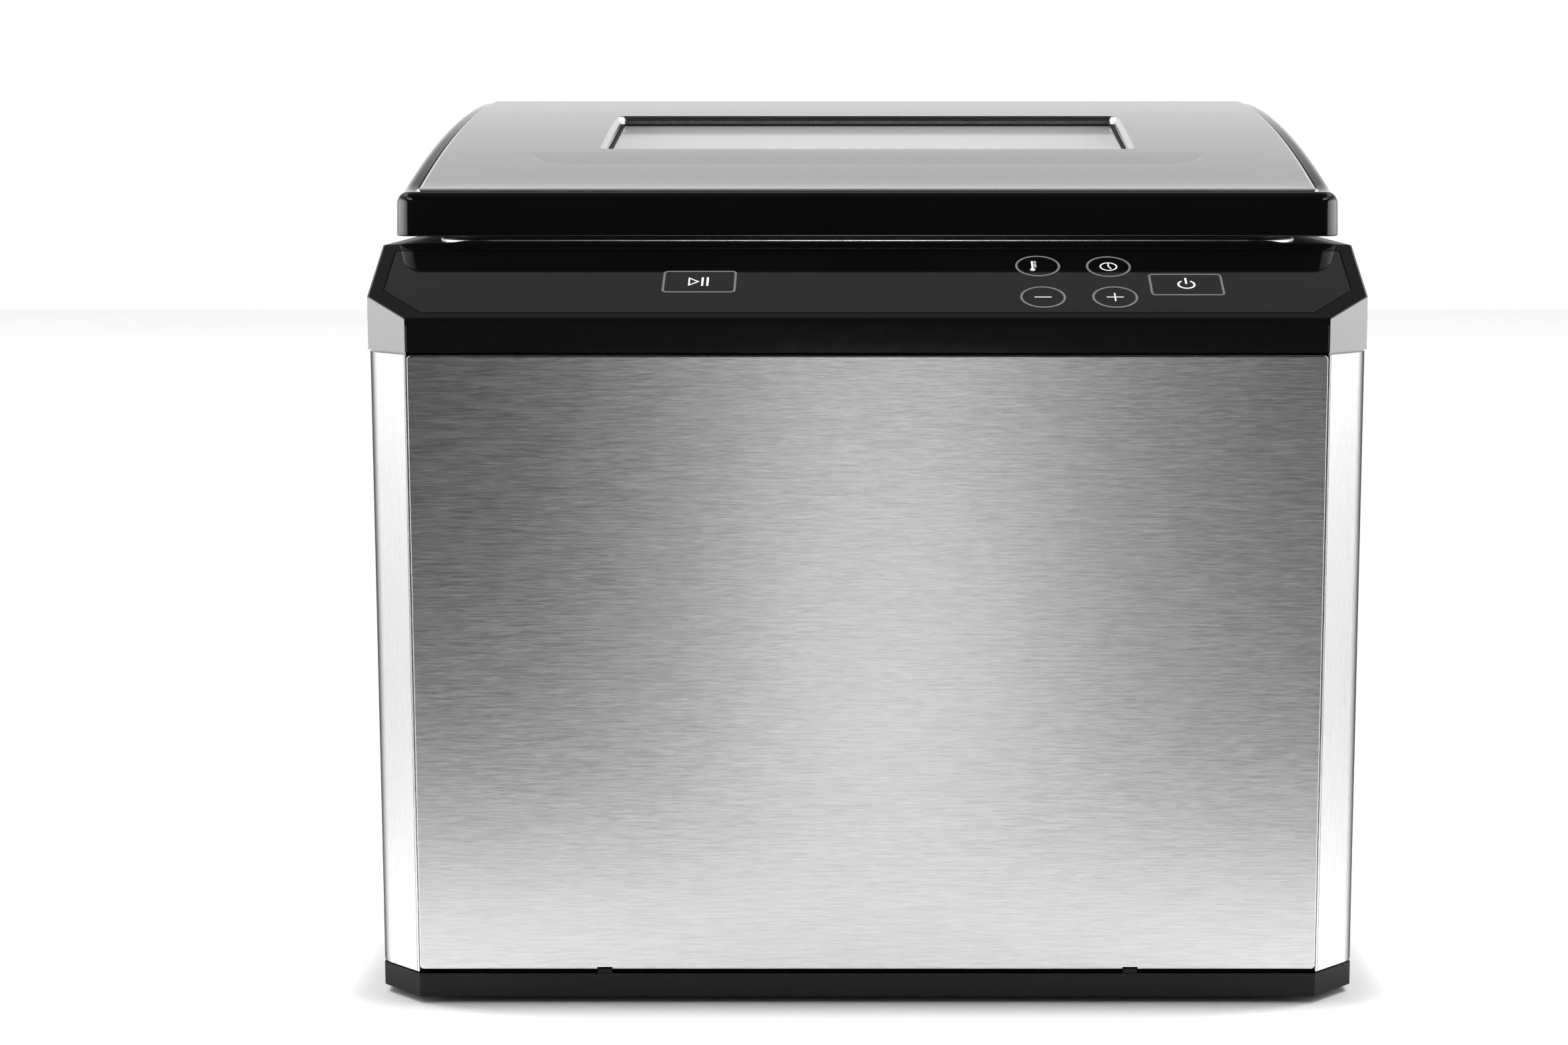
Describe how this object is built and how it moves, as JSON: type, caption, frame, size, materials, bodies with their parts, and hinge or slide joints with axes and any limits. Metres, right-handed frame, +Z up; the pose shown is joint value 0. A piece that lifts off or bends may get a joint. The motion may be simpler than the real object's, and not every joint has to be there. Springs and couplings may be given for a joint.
{
  "type": "sous vide water bath",
  "caption": "Countertop sous vide water bath with a sloping touch panel, a lift-off lid with a long window, a steel tank, a pouch rack and a circulation pump.",
  "frame": {"origin": "middle of the footprint, on the surface that the feet stand on", "axes": "+X right, +Y to the rear, +Z up; the touch panel is at the front, facing -Y"},
  "size_m": [0.35, 0.3, 0.3203],
  "materials": {
    "black_plastic": "moulded black ABS, fine satin texture",
    "rubber": "matt black rubber",
    "screw_steel": "zinc-plated screw steel",
    "brushed_steel": "stainless steel, fine horizontal brushing",
    "bright_steel": "bright stainless steel, soft vertical sheen",
    "silver_paint": "satin silver paint on plastic",
    "gloss_black": "piano black plastic",
    "overlay_black": "glossy dead-front touch overlay",
    "key_print": "white screen print",
    "circuit_board": "green solder mask",
    "display_plastic": "display carrier",
    "tank_steel": "satin stainless steel",
    "silicone": "translucent grey silicone",
    "insulation": "felted mineral wool",
    "aluminium": "die-cast aluminium",
    "heater_steel": "heat-darkened tube",
    "ceramic": "ceramic thermostat body",
    "brass": "machined brass",
    "white_plastic": "natural polypropylene",
    "motor_steel": "black-oxide motor can",
    "magnet": "moulded ferrite magnet",
    "component_black": "moulded components",
    "cable_black": "sheathed wires",
    "cable_grey": "flat cable",
    "rack_steel": "electropolished steel wire",
    "lid_steel": "stainless steel, very fine brushing",
    "glass": "tempered glass"
  },
  "bodies": {
    "housing": {"base_tray": "black_plastic", "rubber_feet": "rubber", "foot_screws": "screw_steel", "base_screws": "screw_steel", "front_panel": "brushed_steel", "left_side_panel": "bright_steel", "right_side_panel": "bright_steel", "rear_panel": "brushed_steel", "rear_screws": "screw_steel", "left_grip_cup": "black_plastic", "right_grip_cup": "black_plastic", "top_frame": "silver_paint", "control_bezel": "gloss_black", "touch_overlay": "overlay_black", "key_print": "key_print", "rear_deck": "gloss_black", "control_board": "circuit_board", "touch_pads": "rubber", "display_module": "display_plastic", "water_tank": "tank_steel", "tank_gasket": "silicone", "tank_insulation": "insulation", "heater_plate": "aluminium", "heater_element": "heater_steel", "thermal_cutout": "ceramic", "temperature_probe": "tank_steel", "probe_nut": "brass", "intake_grille": "tank_steel", "suction_fitting": "white_plastic", "suction_hose": "silicone", "pump_body": "black_plastic", "pump_motor": "motor_steel", "pump_bushing": "brass", "discharge_hose": "silicone", "hose_clamps": "screw_steel", "outlet_nozzle": "tank_steel", "power_board": "circuit_board", "power_components": "component_black", "mains_inlet": "black_plastic", "inlet_pins": "brass", "inlet_screws": "screw_steel", "wiring_loom": "cable_black", "ribbon_cable": "cable_grey"},
    "lid": {"lid_frame": "gloss_black", "lid_plate": "lid_steel", "window_glass": "glass", "window_seal": "rubber", "lid_liner": "tank_steel", "lid_seal": "silicone", "lid_screws": "screw_steel"},
    "rack": {"rack_frame": "rack_steel", "rack_dividers": "rack_steel"},
    "pump_rotor": {"pump_shaft": "tank_steel", "pump_magnet": "magnet", "pump_impeller": "white_plastic"}
  },
  "joints": [
    {"name": "lid_lift", "type": "slide", "parent": "housing", "child": "lid", "axis": [0, 0, 1], "range_m": [0, 0.3]},
    {"name": "rack_lift", "type": "slide", "parent": "housing", "child": "rack", "axis": [0, 0, 1], "range_m": [0, 0.225]},
    {"name": "pump_spin", "type": "hinge", "parent": "housing", "child": "pump_rotor", "pos_m": [-0.09, 0.022, 0.04], "axis": [0, 0, 1], "continuous": true}
  ],
  "couplings": [
    {"joint": "rack_lift", "follows": "lid_lift", "ratio": 0.75}
  ]
}
